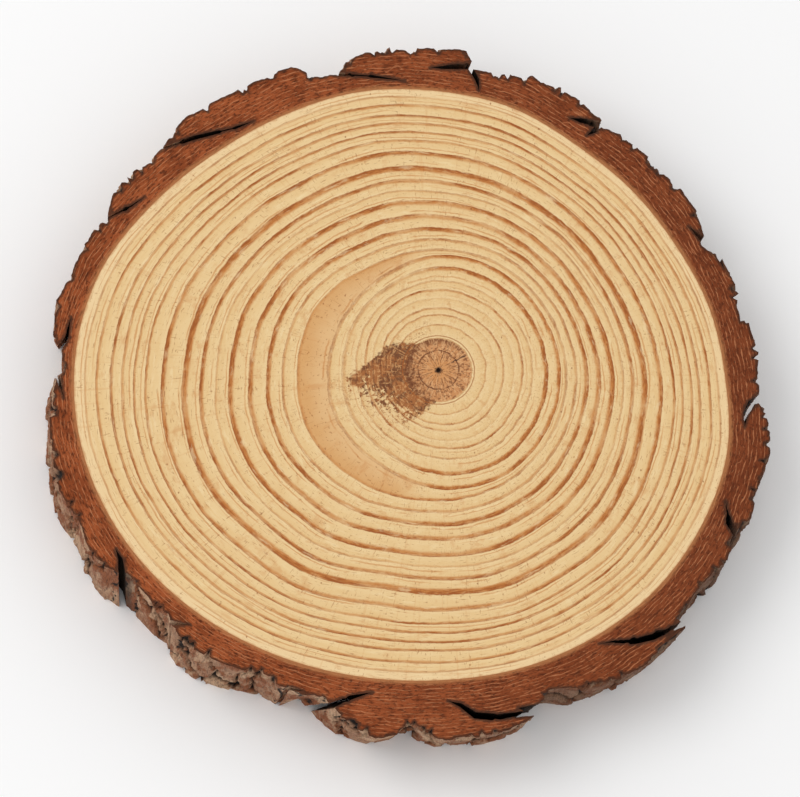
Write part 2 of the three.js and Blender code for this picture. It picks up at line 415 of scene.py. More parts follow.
def without_slivers(under, upper):
    """Both outlines without the points that lie almost on the point before them."""
    step = np.linalg.norm(upper - np.roll(upper, 1, axis=0), axis=1)
    return under[step > SLIVER], upper[step > SLIVER]


under_outline, upper_outline = without_slivers(*sawn_outlines())
print(len(upper_outline), "points in each outline")


# %% Closer points along the outlines
BARK_STEP = 0.9


def closer_points(under, upper):
    """Both outlines with new points between the old ones, which stay."""
    made = []
    for i in range(len(upper)):
        j = (i + 1) % len(upper)
        count = max(1, round(float(np.linalg.norm(upper[j] - upper[i])) / BARK_STEP))
        for share in np.arange(count) / count:
            made.append(np.append(under[i] + share * (under[j] - under[i]),
                                  upper[i] + share * (upper[j] - upper[i])))
    made = np.array(made)
    return made[:, :2], made[:, 2:]


under_points, upper_points = closer_points(under_outline, upper_outline)
print(len(upper_points), "points round the bark")


# %% How the wood tapers
TAPER_SOFTNESS = 60.0


def polar(points):
    """The direction and distance of points from the pith."""
    away = points - PITH
    return np.arctan2(away[:, 1], away[:, 0]), np.hypot(away[:, 0], away[:, 1])


def taper_at(directions):
    """How much nearer the pith the bark's foot is than its rim, averaged over a soft sector."""
    way, upper_radius = polar(upper_points)
    under_radius = polar(under_points)[1]
    weight = np.exp(TAPER_SOFTNESS * (np.cos(directions[:, None] - way[None, :]) - 1))
    return weight @ (upper_radius - under_radius) / weight.sum(axis=1)


def cambium_radius(directions, z):
    """The radius of the wood at some directions and one height."""
    return guide_radius("cambium", directions) - taper_at(directions) * (1 - z / THICKNESS)


cambium_shrink = taper_at(angles) / ring_radius[-1]
print("the wood is up to", round(float(taper_at(angles).max()), 1), "mm smaller at its foot")


# %% [markdown]
# ## The sawn wood's mesh
# The wood is a disc whose rows of points follow the rings, so that every point knows which
# year it grew in. That number is stored on the mesh, and the finish draws the lines from it.
# The rows run from the pith out across the upper face, down the cambium, and back in
# across the underside. The pith is a small pit, as its soft cells have dried away.

# %% Rows of the wood
PIT = [(0.0, 1.3), (0.03, 1.2), (0.06, 0.8), (0.09, 0.35), (0.12, 0.1), (0.16, 0.0)]
HALF_YEARS = np.arange(1, 2 * LAST_YEAR + 1) / 2
WALL_STEPS = 4


def at_year(table, year):
    """A table's row at a year that may lie between two rings."""
    low = min(int(year), LAST_YEAR - 1)
    return table[low] + (year - low) * (table[low + 1] - table[low])


face_rows = PIT + [(float(year), 0.0) for year in HALF_YEARS]
upper = [(year, THICKNESS - depth) for year, depth in face_rows]
wall = [(float(LAST_YEAR), THICKNESS * (1 - step / WALL_STEPS)) for step in range(1, WALL_STEPS)]
lower = [(year, depth) for year, depth in reversed(face_rows)]
rows = upper + wall + lower
print(len(rows), "rows of", COLUMNS, "points")


# %% The wood as a closed mesh
def polar_place(radius, z):
    """Points round the pith at one height, drawn in towards the foot as the wood tapers."""
    tapered = radius * (1 - cambium_shrink * (1 - z / THICKNESS))
    x = PITH[0] + tapered * np.cos(angles)
    y = PITH[1] + tapered * np.sin(angles)
    return np.stack([x, y, np.full(COLUMNS, z)], axis=1)


def add_mesh(name, places, faces, materials, attributes):
    """A mesh object from points in millimetres, with one number per point for each attribute."""
    mesh = bpy.data.meshes.new(name)
    mesh.from_pydata(np.asarray(places) * MM, [], faces)
    for label, values in attributes.items():
        stored = mesh.attributes.new(label, "FLOAT", "POINT")
        stored.data.foreach_set("value", np.float32(values).ravel())
    for material in materials:
        mesh.materials.append(material)
    made = bpy.data.objects.new(name, mesh)
    bpy.context.scene.collection.objects.link(made)
    return made


def wood_mesh(material):
    """The disc of wood: a ring of quads between each two rows, and a fan at each end."""
    middle_rows = rows[1:-1]
    places = [polar_place(at_year(ring_radius, year), z) for year, z in middle_rows]
    spacing = np.gradient(ring_radius, axis=0)
    tables = {"year": np.repeat(np.arange(LAST_YEAR + 1.0)[:, None], COLUMNS, axis=1),
              "spacing": spacing, "dark": ring_dark, "wide": ring_wide}
    attributes = {label: [at_year(table, year) for year, _ in middle_rows]
                  for label, table in tables.items()}
    faces = []
    for row in range(len(middle_rows) - 1):
        for column in range(COLUMNS):
            here = row * COLUMNS + column
            beside = row * COLUMNS + (column + 1) % COLUMNS
            faces.append((here, here + COLUMNS, beside + COLUMNS, beside))
    top_point = len(middle_rows) * COLUMNS
    last = top_point - COLUMNS
    for column in range(COLUMNS):
        beside = (column + 1) % COLUMNS
        faces.append((top_point, column, beside))
        faces.append((top_point + 1, last + beside, last + column))
    ends = [[PITH[0], PITH[1], rows[0][1]], [PITH[0], PITH[1], rows[-1][1]]]
    places = np.concatenate(places + [np.array(ends)])
    ends_too = {label: np.append(np.concatenate(values), [values[0][0], values[-1][0]])
                for label, values in attributes.items()}
    return add_mesh("sawn_wood", places, faces, [material], ends_too)


# %% [markdown]
# ## The sawn wood's finish
# The late lines could be painted as an image, but a drawn line stays sharp at any size when
# the finish works it out: the year's fraction times the ring spacing is the distance to the
# nearest line in millimetres. Noise that is stretched along the rings makes the lines
# wander, thicken and break, as they do in real wood.

# %% Colours of the wood
SPRING_WOOD = tint(236, 205, 152)
SUMMER_WOOD = tint(224, 184, 124)
LATE_LINE = tint(198, 127, 62)
LATE_LINE_DEEP = tint(158, 85, 28)
YOUNGEST_WOOD = tint(238, 207, 158)
CRESCENT_INNER = tint(226, 184, 130)
CRESCENT_OUTER = tint(216, 164, 104)
HEART = tint(200, 138, 86)
HEART_GLOW = tint(206, 138, 76)
HEART_PALE = tint(226, 176, 124)
HEART_DEEP = tint(108, 58, 26)
PITH_DARK = tint(50, 30, 20)
STAIN = tint(158, 91, 40)
STAIN_DEEP = tint(104, 50, 14)
STAIN_PALE = tint(212, 155, 98)
SPECK = tint(144, 76, 20)
SPRING_PALE = tint(245, 222, 174)
EDGE_TAN = tint(198, 144, 94)

# %% [markdown]
# Noise draws everything that isn't a clean line. Grain runs along the rings: `around` says
# how fine it is round the tree and `years` how fine from ring to ring. Rays run out from
# the pith, and patches are the same every way.

# %% The noises that draw the marks
GRAIN = {
    "slow wander": {"around": 6, "years": 0.7},
    "quick wander": {"around": 45, "years": 1.5, "detail": 3.0},
    "uneven": {"around": 4.5, "years": 1.2, "detail": 3.0},
    "streaks": {"around": 26, "years": 13, "detail": 3.0},
    "breaks": {"around": 24, "years": 0.9, "detail": 3.0, "roughness": 0.6},
    "second line": {"around": 2, "years": 0.6},
    "second line parts": {"around": 3.5, "years": 2.1},
    "season": {"around": 12, "years": 5, "detail": 4.0},
    "dashes": {"around": 34, "years": 16},
    "scratches": {"around": 170, "years": 2.2},
    "smudges": {"around": 9, "years": 1.1, "detail": 5.0, "roughness": 0.7},
    "pale streaks": {"around": 11, "years": 4.0, "detail": 4.0, "roughness": 0.65},
    "edge": {"around": 40, "years": 0.8, "detail": 3.0},
    "stain flecks": {"around": 7, "years": 5, "detail": 4.0, "roughness": 0.65},
}
RAYS = {
    "wood rays": {"around": 95, "outward": 0.05, "detail": 3.0},
    "stain rays": {"around": 24, "outward": 0.25, "detail": 3.0},
    "heart rays": {"around": 22, "outward": 0.35, "detail": 3.0},
    "heart flecks": {"around": 9, "outward": 1.1, "detail": 4.0, "roughness": 0.7},
}
PATCHES = {
    "crescent": {"scale": 0.12},
    "scratched": {"scale": 0.12},
    "spotted": {"scale": 0.16, "detail": 3.0},
    "ragged": {"scale": 0.55, "detail": 4.0, "roughness": 0.6},
    "dense": {"scale": 0.7, "detail": 4.0, "roughness": 0.65},
    "specks": {"scale": 0.8, "detail": 5.0, "roughness": 0.75},
    "blots": {"scale": 0.26, "detail": 5.0, "roughness": 0.68},
    "mottle": {"scale": 0.55, "detail": 5.0, "roughness": 0.65},
    "inner ring": {"scale": 0.35, "detail": 3.0},
    "spoke sway": {"scale": 0.4},
    "spokes": {"scale": 0.7, "detail": 3.0},
    "fine": {"scale": 2.2, "detail": 5.0, "roughness": 0.7},
}
print(len(GRAIN) + len(RAYS) + len(PATCHES), "noises in the wood")

# %% [markdown]
# A mark eases in from a low value of its noise to a high one, and then shows with some
# strength. These three numbers make it rarer, softer or fainter. A swing is how far noise
# moves an edge to either side, mostly in millimetres.

# %% How the marks ease in, and how far edges swing
MARKS = {
    "wander": (6.0, 16.0, 1.0),
    "second line": (0.34, 0.08, 1.0),
    "second line parts": (0.44, 0.56, 1.0),
    "second line reach": (16.0, 40.0, 0.6),
    "youngest": (-1.8, -0.3, 0.8),
    "crescent start": (0.0, 0.12, 1.0),
    "crescent end": (1.03, 1.0, 1.0),
    "crescent side": (0.02, 0.4, 1.0),
    "crescent tone": (0.0, 1.0, 1.0),
    "line tone": (0.2, 0.48, 1.0),
    "wood rays": (0.56, 0.75, 0.22),
    "dashes": (0.62, 0.7, 0.5),
    "scratches": (0.63, 0.7, 0.45),
    "scratched": (0.4, 0.55, 1.0),
    "spots": (0.11, 0.05, 0.7),
    "spotted": (0.5, 0.6, 1.0),
    "smudges": (0.54, 0.68, 0.32),
    "pale streaks": (0.54, 0.7, 0.4),
    "edge": (-0.2, 0.05, 0.8),
    "stain inside": (-0.2, 1.0, 1.0),
    "stain dense": (0.8, 3.2, 0.96),
    "stain tip": (0.6, -1.0, 1.0),
    "specks below": (-12.0, 0.0, 1.0),
    "specks left": (-1.0, 4.0, 1.0),
    "specks right": (-1.0, 3.0, 1.0),
    "specks middle": (0.0, 4.0, 1.0),
    "specks": (0.54, 0.6, 0.7),
    "blots": (0.46, 0.55, 1.0),
    "stain flecks": (0.52, 0.6, 0.7),
    "stain rays": (0.57, 0.64, 0.7),
    "stain line": (0.42, 0.12, 1.0),
    "stain line parts": (0.4, 0.5, 0.75),
    "heart tone": (1.0, 6.5, 1.0),
    "heart rays": (0.47, 0.58, 0.7),
    "heart flecks": (0.49, 0.61, 1.0),
    "heart flecks reach": (0.0, 6.0, 0.75),
    "heart stained": (2.0, 9.0, 1.0),
    "heart stained reach": (5.0, 8.5, 1.0),
    "heart stained flecks": (0.4, 0.56, 0.6),
    "inner ring": (0.4, 0.1, 1.0),
    "inner ring parts": (0.32, 0.5, 0.85),
    "heart rim reach": (8.6, 11.0, 1.0),
    "heart rim": (0.42, 0.6, 1.0),
    "heart rim rays": (0.6, 0.42, 0.5),
    "spokes": (0.2, 0.05, 1.0),
    "spoke parts": (0.44, 0.56, 1.0),
    "spoke reach": (10.0, 7.0, 0.8),
    "heart crack": (0.4, 0.1, 1.0),
    "heart crack start": (5.0, 6.0, 1.0),
    "heart crack end": (11.8, 10.6, 0.8),
    "halo": (0.3, 0.1, 0.7),
    "heart": (11.6, 11.1, 1.0),
    "pith": (1.7, 0.6, 1.0),
}
SWINGS = {
    "slow wander": 1.1,
    "quick wander": 0.45,
    "season": 0.9,
    "crescent": 0.8,
    "edge": 0.5,
    "ragged": 6.0,
    "dense": 34,
    "heart stained": 12,
    "inner ring": 1.1,
    "spoke sway": 0.7,
    "heart crack": 2.5,
    "halo": 0.6,
    "heart": 1.6,
    "pith": 2.4,
}
print(len(MARKS), "ways to ease in,", len(SWINGS), "swings")

# %% [markdown]
# Every mark needs the same few facts about a spot: its place from the pith, the year it
# grew in, and how far it lies from a late line. They are worked out once and shared. The
# rings wander a little here, except near the round heart.

# %% The wires that the marks share
HALF_YEAR = 0.5
GRAIN_BY_HEIGHT = 0.04


class WoodGrain:
    """The wires that the marks in the wood start from, in millimetres from the pith."""

    def __init__(self, tree, place):
        self.tree = tree
        self.place = place
        middle = (float(PITH[0]), float(PITH[1]), 0.0)
        self.x, self.y, self.z = tree.parts(tree.vector("SUBTRACT", place, middle))
        flat = tree.joined(self.x, self.y, 0.0)
        self.reach = tree.vector("LENGTH", flat, result="Value")
        self.across, self.along, _ = tree.parts(tree.vector("NORMALIZE", flat))
        self.wide = tree.attribute("wide")
        self.grown = tree.attribute("year")
        spacing = tree.attribute("spacing")
        wander = self.swing("slow wander", self.grain("slow wander", self.grown))
        wander = wander + self.swing("quick wander", self.grain("quick wander", self.grown))
        self.year = self.grown + wander * self.mark("wander", self.reach) / spacing
        self.off_line = tree.off_middle(self.year + HALF_YEAR) * spacing
        self.uneven = self.grain("uneven", self.grown)
        self.streaks = self.grain("streaks", self.year)
        self.mottle = self.patches("mottle")

    def stretched(self, around, height, settings):
        spot = self.tree.joined(self.across * around, self.along * around, height)
        return self.tree.noise(spot, 1.0, **settings)

    def grain(self, name, year):
        """Noise that is stretched along the rings."""
        settings = dict(GRAIN[name])
        around = settings.pop("around")
        height = year * settings.pop("years") + self.z * GRAIN_BY_HEIGHT
        return self.stretched(around, height, settings)

    def rays(self, name):
        """Noise that is stretched out from the pith."""
        settings = dict(RAYS[name])
        around = settings.pop("around")
        return self.stretched(around, self.reach * settings.pop("outward"), settings)

    def patches(self, name):
        """Noise that is the same every way."""
        return self.tree.noise(self.place, **PATCHES[name])

    def mark(self, name, value):
        return self.tree.mark(MARKS[name], value)

    def swing(self, name, noise):
        return self.tree.swing(noise, SWINGS[name])


# %% [markdown]
# A late line has a soft inner edge, because summer wood thickens slowly, and a sharp outer
# edge, where winter stopped it. Three noises make it uneven, streaked and broken.

# %% Late lines
LINE_EDGES = (-0.95, -0.25, 0.35, 0.62)
LINE_STRENGTH = {"uneven": (1.7, 0.1), "streaks": (0.6, 0.75), "breaks": (0.9, 0.55)}
SECOND_LINE_GAP = (2.6, 0.3)


def late_lines(wood):
    """How strongly the late lines show. Their edges are given in line widths."""
    tree = wood.tree
    start, full_from, full_to, end = (wood.wide * edge for edge in LINE_EDGES)
    line = tree.fade(wood.off_line, start, full_from) * tree.fade(wood.off_line, end, full_to)
    breaks = wood.grain("breaks", wood.grown)
    noises = {"uneven": wood.uneven, "streaks": wood.streaks, "breaks": breaks}
    strength = tree.attribute("dark")
    for name, (slope, least) in LINE_STRENGTH.items():
        strength = strength * (noises[name] * slope + least)
    return tree.maths("MINIMUM", line * strength, 1.0)


def second_lines(wood):
    """The fainter lines that follow some of the late ones."""
    slope, least = SECOND_LINE_GAP
    gap = wood.grain("second line", wood.grown) * slope + least
    line = wood.mark("second line", wood.tree.maths("ABSOLUTE", wood.off_line - gap))
    parts = wood.mark("second line parts", wood.grain("second line parts", wood.grown))
    return line * parts * wood.mark("second line reach", wood.reach)


# %% [markdown]
# Between the lines the wood darkens slowly from spring to summer. On the left one year is
# much wider than the others, and its wood is tan: that makes the crescent.

# %% Clean wood
CRESCENT_YEAR = 10
SEASON_RISE = 0.7
LINE_TONE_EDGE = 0.5
LINE_TONE_RISE = 0.16


def crescent(wood):
    """Where the crescent lies, between two rings on the left."""
    since = wood.year - CRESCENT_YEAR
    shape = wood.mark("crescent start", since) * wood.mark("crescent end", since)
    return shape * wood.mark("crescent side", wood.across * -1.0)


def clean_wood(wood, late, in_crescent):
    """The colour of the seasons, the crescent and the lines."""
    tree = wood.tree
    season = tree.maths("FRACT", wood.year) * SEASON_RISE
    season = season + wood.swing("season", wood.grain("season", wood.year))
    colour = tree.blend(season, SPRING_WOOD, SUMMER_WOOD)
    colour = tree.blend(wood.mark("youngest", wood.grown - LAST_YEAR), colour, YOUNGEST_WOOD)

    tone = wood.mark("crescent tone", wood.year - CRESCENT_YEAR)
    tone = tone + wood.swing("crescent", wood.patches("crescent"))
    colour = tree.blend(in_crescent, colour, tree.blend(tone, CRESCENT_INNER, CRESCENT_OUTER))

    edge = wood.wide * LINE_TONE_EDGE
    outer_edge = tree.fade(wood.off_line, edge * -1.0, edge)
    line_tone = wood.mark("line tone", wood.streaks * wood.uneven + outer_edge * LINE_TONE_RISE)
    colour = tree.blend(second_lines(wood), colour, LATE_LINE)
    return tree.blend(late, colour, tree.blend(line_tone, LATE_LINE, LATE_LINE_DEEP))


# %% [markdown]
# Up close the face is full of small marks: rays that cross the rings, dashes and scratches
# from the saw, resin spots, and smudged or paler streaks. The last of the wood is tan.

# %% Small marks
SPOT_SCALE = 0.3
SPOT_STRETCH = (1.0, 0.7, 1.0)


def add_small_marks(wood, colour, in_crescent):
    """Rays, dashes, scratches, spots, smudges, pale streaks and the tan edge."""
    tree = wood.tree
    colour = tree.blend(wood.mark("wood rays", wood.rays("wood rays")), colour, LATE_LINE)
    dashes = wood.mark("dashes", wood.grain("dashes", wood.year))
    scratches = wood.mark("scratches", wood.grain("scratches", wood.year))
    scratches = scratches * wood.mark("scratched", wood.patches("scratched"))
    colour = tree.blend(dashes + scratches, colour, SPECK)
    cells = tree.cells(tree.stretch(wood.place, *SPOT_STRETCH), "F1", Scale=SPOT_SCALE)
    spots = wood.mark("spots", cells) * wood.mark("spotted", wood.patches("spotted"))
    colour = tree.blend(spots, colour, SPECK)
    smudges = wood.mark("smudges", wood.grain("smudges", wood.grown))
    colour = tree.blend(smudges, colour, LATE_LINE)
    pale_streaks = wood.mark("pale streaks", wood.grain("pale streaks", wood.year))
    colour = tree.blend(pale_streaks * (1.0 - in_crescent), colour, SPRING_PALE)
    swung = wood.grown - LAST_YEAR + wood.swing("edge", wood.grain("edge", wood.grown))
    return tree.blend(wood.mark("edge", swung), colour, EDGE_TAN)


# %% [markdown]
# A dark stain spreads from the heart to the left. It has straight edges where the cells are
# cut off, a small round tip, and a lower edge that breaks up into flecks.

# %% The stain's shape
STAIN_EDGES = {
    "upper left": (0.636, -0.772, 17.5),
    "top": (0.0, -1.0, 9.6),
    "lower left": (0.543, 0.840, 21.6),
    "lower right": (-0.683, 0.731, 8.3),
    "right": (-1.0, 0.0, -1.0),
}
STAIN_BREAKS_UP = 3.0
STAIN_THIN = 0.04
STAIN_TIP = (-28.6, -4.8)
STAIN_TIP_RADIUS = 2.4
TIP_RAGGED = 0.4


def stain_shape(wood):
    """How strongly the stain shows, and the scattered specks below it."""
    tree = wood.tree
    edges = {name: wood.x * a + wood.y * b + c for name, (a, b, c) in STAIN_EDGES.items()}
    ragged = wood.swing("ragged", wood.patches("ragged"))
    inside = edges["lower left"] + STAIN_BREAKS_UP
    for name in ("right", "upper left", "top", "lower right"):
        inside = tree.maths("MINIMUM", inside, edges[name])
    patchy = wood.swing("dense", wood.patches("dense"))
    dense = wood.mark("stain dense", edges["lower left"] + patchy) + STAIN_THIN
    stain = wood.mark("stain inside", inside + ragged) * dense
    from_tip = tree.joined(wood.x - STAIN_TIP[0], wood.y - STAIN_TIP[1], 0.0)
    to_tip = tree.vector("LENGTH", from_tip, result="Value") + ragged * TIP_RAGGED
    stain = tree.maths("MAXIMUM", stain, wood.mark("stain tip", to_tip - STAIN_TIP_RADIUS))
    specks = wood.mark("specks", wood.patches("specks"))
    specks = specks * wood.mark("specks below", edges["lower left"])
    specks = specks * wood.mark("specks left", edges["upper left"])
    specks = specks * wood.mark("specks right", edges["lower right"])
    return stain, specks * wood.mark("specks middle", edges["right"])


# %% The stain's colour
STAIN_COVER = 0.94


def add_stain(wood, colour, stain, specks):
    """Brown blots, with pale flecks along the rings and rays, and the late lines as thin ones."""
    tree = wood.tree
    stained = tree.blend(wood.mark("blots", wood.patches("blots")), STAIN, STAIN_DEEP)
    along_rings = wood.mark("stain flecks", wood.grain("stain flecks", wood.year))
    along_rays = wood.mark("stain rays", wood.rays("stain rays"))
    flecks = tree.maths("MAXIMUM", along_rings, along_rays)
    stained = tree.blend(flecks, stained, STAIN_PALE)
    thin_line = wood.mark("stain line", tree.maths("ABSOLUTE", wood.off_line))
    thin_line = thin_line * wood.mark("stain line parts", wood.streaks)
    stained = tree.blend(thin_line, stained, STAIN_DEEP)
    colour = tree.blend(stain * STAIN_COVER, colour, stained)
    return tree.blend(specks, colour, STAIN)


# %% [markdown]
# The heart is brown and round, with a thin ring inside it, fine cracks that run out from
# the pith like spokes, and one longer crack.

# %% The heart's marks
CORE_RING_RADIUS = 7.0
SPOKES = 17
HEART_CRACK_ANGLE = math.radians(31)
STAINED_WAY = (0.8, 0.3)
STAINED_LEAST = 0.22
RIM_LEAST = 0.35
RIM_LEAN = 0.016


def spokes_of(wood):
    """Cracks at even angles round the pith, with some sway and gaps."""
    tree = wood.tree
    turn = tree.maths("ARCTAN2", wood.y, wood.x) * (SPOKES / math.tau)
    turn = turn + wood.swing("spoke sway", wood.patches("spoke sway"))
    aside = tree.off_middle(turn) * wood.reach * (math.tau / SPOKES)
    aside = tree.maths("ABSOLUTE", aside)
    return wood.mark("spokes", aside) * wood.mark("spoke parts", wood.patches("spokes"))


def heart_crack(wood):
    """The one longer crack, straight out from the inner ring."""
    cosine = math.cos(HEART_CRACK_ANGLE)
    sine = math.sin(HEART_CRACK_ANGLE)
    outward = wood.x * cosine + wood.y * sine
    aside = wood.y * cosine - wood.x * sine + wood.swing("heart crack", wood.mottle)
    crack = wood.mark("heart crack", wood.tree.maths("ABSOLUTE", aside))
    return crack * wood.mark("heart crack start", outward) * wood.mark("heart crack end", outward)


# %% The heart's colour
def heart_colour(wood, spokes):
    tree = wood.tree
    heart = tree.blend(wood.mark("heart tone", wood.reach), HEART_GLOW, HEART)
    rays = wood.rays("heart rays")
    flecks = wood.rays("heart flecks")
    heart = tree.blend(wood.mark("heart rays", rays), heart, HEART_PALE)
    deep_flecks = wood.mark("heart flecks", flecks) * wood.mark("heart flecks reach", wood.reach)
    heart = tree.blend(deep_flecks, heart, HEART_DEEP)

    to_left = wood.swing("heart stained", wood.mottle)
    to_left = to_left - wood.x * STAINED_WAY[0] - wood.y * STAINED_WAY[1]
    stained = wood.mark("heart stained", to_left) * wood.mark("heart stained reach", wood.reach)
    stained = stained * (wood.mark("heart stained flecks", flecks) + STAINED_LEAST)
    heart = tree.blend(stained, heart, STAIN_DEEP)

    ring_off = wood.reach - CORE_RING_RADIUS + wood.swing("inner ring", wood.mottle)
    ring = wood.mark("inner ring", tree.maths("ABSOLUTE", ring_off))
    ring = ring * wood.mark("inner ring parts", wood.patches("inner ring"))
    heart = tree.blend(ring, heart, HEART_DEEP)

    rim = wood.mark("heart rim", wood.mottle + (wood.y - wood.x) * RIM_LEAN)
    rim = rim * wood.mark("heart rim reach", wood.reach)
    heart = tree.blend(rim * (wood.mark("heart rim rays", rays) + RIM_LEAST), heart, HEART_DEEP)
    heart = tree.blend(spokes * wood.mark("spoke reach", wood.reach), heart, HEART_DEEP)
    return tree.blend(heart_crack(wood), heart, PITH_DARK)


# %% [markdown]
# The layers are put on from the back to the front: clean wood, small marks, the stain, the
# heart and the pith. Late lines are a little smoother and stand a little proud, and the
# stain and the cracks lie a little lower.

# %% The finish of the sawn wood
HALO_GAP = 0.9
WOOD_ROUGHNESS = 0.6
WOOD_ROUGHNESS_BY_NOISE = 0.14
WOOD_ROUGHNESS_BY_LINE = 0.06
WOOD_HEIGHTS = {"fine": 0.6, "late": 0.3, "sunken": 0.3}
WOOD_BUMP = {"Strength": 0.35, "Distance": 0.12 * MM}
WOOD_SHINE = 0.3


def add_heart(wood, colour, spokes):
    """The thin halo round the heart, the heart, and the dark pith."""
    tree = wood.tree
    halo_off = wood.reach - CORE_RADIUS - HALO_GAP + wood.swing("halo", wood.mottle)
    halo = wood.mark("halo", tree.maths("ABSOLUTE", halo_off))
    colour = tree.blend(halo, colour, LATE_LINE_DEEP)
    in_heart = wood.mark("heart", wood.reach + wood.swing("heart", wood.mottle))
    colour = tree.blend(in_heart, colour, heart_colour(wood, spokes))
    in_pith = wood.mark("pith", wood.reach + wood.swing("pith", wood.mottle))
    return tree.blend(in_pith, colour, PITH_DARK)


def sawn_wood_finish():
    material, tree, shader, place = finish_material("sawn_wood")
    wood = WoodGrain(tree, place)
    late = late_lines(wood)
    in_crescent = crescent(wood)
    colour = clean_wood(wood, late, in_crescent)
    colour = add_small_marks(wood, colour, in_crescent)
    stain, specks = stain_shape(wood)
    colour = add_stain(wood, colour, stain, specks)
    spokes = spokes_of(wood)
    colour = add_heart(wood, colour, spokes)
    plug(tree, colour, shader, "Base Color")
    fine = wood.patches("fine")
    roughness = fine * WOOD_ROUGHNESS_BY_NOISE + WOOD_ROUGHNESS - late * WOOD_ROUGHNESS_BY_LINE
    plug(tree, roughness, shader, "Roughness")
    height = fine * WOOD_HEIGHTS["fine"] + late * WOOD_HEIGHTS["late"]
    height = height - (stain + spokes) * WOOD_HEIGHTS["sunken"]
    add_bump(tree, shader, WOOD_BUMP, height)
    shader.inputs["Specular IOR Level"].default_value = WOOD_SHINE
    return material


sawn_wood = wood_mesh(sawn_wood_finish())
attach(sawn_wood, "root")
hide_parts("wood_slice")
print("sawn wood:", len(sawn_wood.data.polygons), "faces")

# %% [markdown]
# ## The bark
# Old pine bark is a stack of thin corky scales, split into upright plates by deep furrows.
# A modelled copy of each plate would never look grown, so the outside is a fine grid over
# the outline and a Geometry Nodes tree carves it by rule: cells that are stretched upright
# give the plates, their borders the furrows, and smaller cells the scales. First each point
# learns which way is out, and how deep it may be carved before it would meet another wall.

# %% Rows and ways of the bark
SIDE_ROWS = 36
heights = np.linspace(0, THICKNESS, SIDE_ROWS)
AROUND = len(upper_points)
print(AROUND * SIDE_ROWS, "points to carve")

# %% [markdown]
# Inside its cracks the bark is painted nearly black as shade, as no light reaches in,
# and it has no plates there, because the walls split late. How sheltered a point is
# follows from how far it lies behind the bark on either side of it.

# %% Shelter in the cracks
SHELTER_SECTOR = math.radians(3.5)


def shelter(points):
    """How far each point of an outline lies behind the outermost bark near its direction."""
    way, radius = polar(points)
    apart = np.abs((way[:, None] - way[None, :] + np.pi) % (2 * np.pi) - np.pi)
    return np.where(apart < SHELTER_SECTOR, radius[None, :], 0).max(axis=1) - radius


sheltered = (shelter(under_points) + shelter(upper_points)) / 2
print("deepest shelter", round(float(sheltered.max()), 1), "mm")

# %% Room to carve
CARVE_SHARE = 0.36
CARVE_MOST = 4.2
FOLD_RATIO = 1.25
ROOM_SLOPE = 0.3
OPEN_BARK = 1.5
CRACK_WALL = 5.0
WALL_SHARE = 0.6
NEIGHBOURS = 2


def outward_ways(points):
    """The level direction out of the bark at each point of an outline."""
    run = np.roll(points, -NEIGHBOURS, axis=0) - np.roll(points, NEIGHBOURS, axis=0)
    out = np.stack([run[:, 1], -run[:, 0]], axis=1)
    return out / np.linalg.norm(out, axis=1, keepdims=True)


def way_between(points):
    """The shorter way along the outline between every two of its points."""
    step = np.linalg.norm(np.roll(points, -1, axis=0) - points, axis=1)
    run = np.concatenate([[0], np.cumsum(step)])
    along = np.abs(run[:-1, None] - run[None, :-1])
    return np.minimum(along, run[-1] - along)


def nearest_fold(points):
    """How near each point is to a part of the outline that has turned back on it.

    Two points count as folded where the way along the outline is clearly longer than the
    straight way, as it is across a crack, through a thin flake or round a sharp corner.
    """
    straight = np.linalg.norm(points[:, None, :] - points[None, :, :], axis=2)
    folded = way_between(points) > FOLD_RATIO * straight
    return np.where(folded, straight, np.inf).min(axis=1)


def bark_depth(points, z):
    """How far the wood lies behind each point of an outline."""
    way, radius = polar(points)
    return radius - cambium_radius(way, z)


outward = outward_ways(upper_points)
limits = [nearest_fold(under_points), nearest_fold(upper_points)]
limits += [bark_depth(under_points, 0), bark_depth(upper_points, THICKNESS)]
room = np.minimum(np.min(limits, axis=0) * CARVE_SHARE, CARVE_MOST)
room = room * np.interp(sheltered, [OPEN_BARK, CRACK_WALL], [1.0, WALL_SHARE])
room = (room[None, :] + ROOM_SLOPE * way_between(upper_points)).min(axis=1)
print("room to carve", round(float(room.min()), 2), "to", round(float(room.max()), 2), "mm")

# %% The uncarved side
def side_faces():
    faces = []
    for row in range(SIDE_ROWS - 1):
        for column in range(AROUND):
            here = row * AROUND + column
            beside = row * AROUND + (column + 1) % AROUND
            faces.append((here, beside, beside + AROUND, here + AROUND))
    return faces


def uncarved_side():
    """A grid over the outside of the bark, from the foot to the rim."""
    places = []
    for z in heights:
        level = under_points + (upper_points - under_points) * z / THICKNESS
        places.append(np.column_stack([level, np.full(AROUND, z)]))
    rooms = {"room": np.tile(room, SIDE_ROWS)}
    side = add_mesh("bark_side", np.concatenate(places), side_faces(), [], rooms)
    ways = np.tile(np.column_stack([outward, np.zeros(AROUND)]), (SIDE_ROWS, 1))
    stored = side.data.attributes.new("outward", "FLOAT_VECTOR", "POINT")
    stored.data.foreach_set("vector", ways.ravel())
    return side


# %% [markdown]
# ## The outside of the bark: its finish
# Weathered bark is grey-brown and paler on the edges of its scales. The finish paints it
# nearly black deep in its furrows and darker on the right, away from the lamp, as shade.
# The carving stores how deep each point lies, and the finish reads it.

# %% Colours of the weathered bark
WEATHERED = tint(176, 134, 105)
WEATHERED_PALE = tint(216, 179, 145)
WEATHERED_RED = tint(150, 90, 58)
# The next colour is painted shade for the bark's right side, away from the lamp.
WEATHERED_PAINTED_SHADE = tint(84, 58, 44)
# The next colour is the near black of fibres and grit, and painted shade in furrows and cracks.
DARK_FIBRE_AND_SHADE = tint(30, 21, 16)

